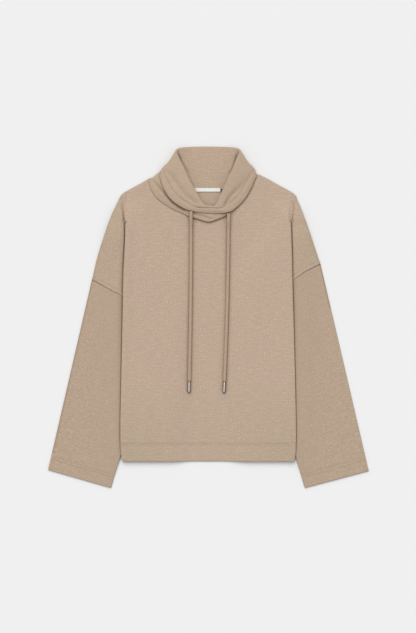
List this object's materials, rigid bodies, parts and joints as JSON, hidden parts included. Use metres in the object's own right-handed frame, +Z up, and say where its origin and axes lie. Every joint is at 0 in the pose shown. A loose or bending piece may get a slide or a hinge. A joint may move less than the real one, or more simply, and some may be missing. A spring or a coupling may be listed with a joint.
{
  "type": "sweatshirt",
  "caption": "Loose long-sleeved sweatshirt with dropped shoulders and a tall folded funnel collar whose channel carries a drawcord with metal tips, laid flat on its back.",
  "frame": {"origin": "centre of the footprint, on the surface that the garment lies on", "axes": "+Z up from the surface towards the viewer, +Y from the hem towards the collar, +X towards the viewer's right as the front is looked at"},
  "size_m": [0.6734, 0.717, 0.0159],
  "materials": {
    "front": "matt melange knit, beige",
    "back": "matt melange knit, beige",
    "sleeve_left": "matt melange knit, beige",
    "sleeve_right": "matt melange knit, beige",
    "collar": "matt melange knit, beige",
    "label": "woven tape, off-white, blank",
    "size_tab": "woven tape, dark, blank",
    "drawcord_left": "braided round cord, beige",
    "drawcord_right": "braided round cord, beige",
    "cord_tip_left": "satin metal",
    "cord_tip_right": "satin metal"
  },
  "bodies": {
    "root": {"front": "front", "back": "back", "sleeve_left": "sleeve_left", "sleeve_right": "sleeve_right", "collar": "collar", "label": "label", "size_tab": "size_tab", "drawcord_left": "drawcord_left", "drawcord_right": "drawcord_right", "cord_tip_left": "cord_tip_left", "cord_tip_right": "cord_tip_right"}
  },
  "joints": []
}
